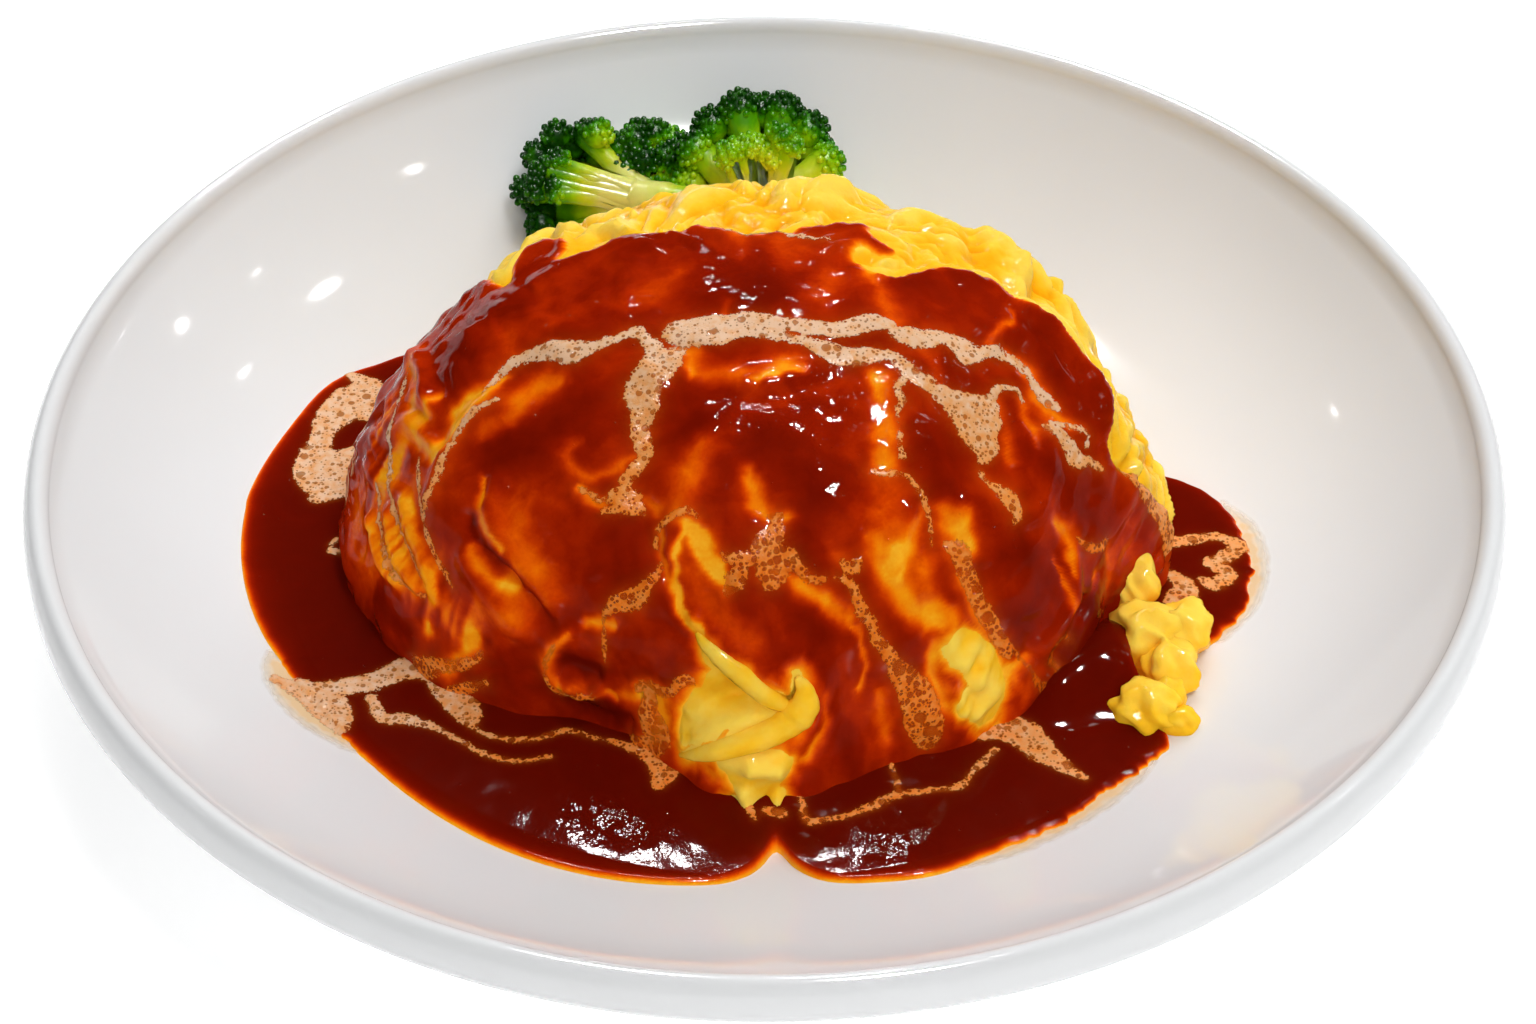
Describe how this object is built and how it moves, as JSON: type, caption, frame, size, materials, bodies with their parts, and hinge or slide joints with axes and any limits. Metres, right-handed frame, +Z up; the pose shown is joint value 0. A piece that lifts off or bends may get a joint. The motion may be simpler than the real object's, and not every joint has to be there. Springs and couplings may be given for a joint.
{
  "type": "omurice",
  "caption": "Soft omelette mound over rice under brown sauce, with a pool of sauce round it and broccoli behind, on a round white coupe plate.",
  "frame": {"origin": "centre of the plate's foot, on the table", "axes": "+Z up, -Y towards the diner, +X to the diner's right"},
  "size_m": [0.24, 0.24, 0.0668],
  "materials": {
    "plate_glaze": "glossy light grey-white glaze",
    "omelette_egg": "moist cooked egg, soft sheen",
    "brown_sauce": "wet glossy sauce, darker where it is thick",
    "broccoli_green": "boiled broccoli, dark buds and light stems"
  },
  "bodies": {
    "root": {"plate": "plate_glaze", "omelette": "omelette_egg", "sauce": "brown_sauce", "broccoli_left": "broccoli_green", "broccoli_middle": "broccoli_green", "broccoli_right": "broccoli_green"}
  },
  "joints": []
}
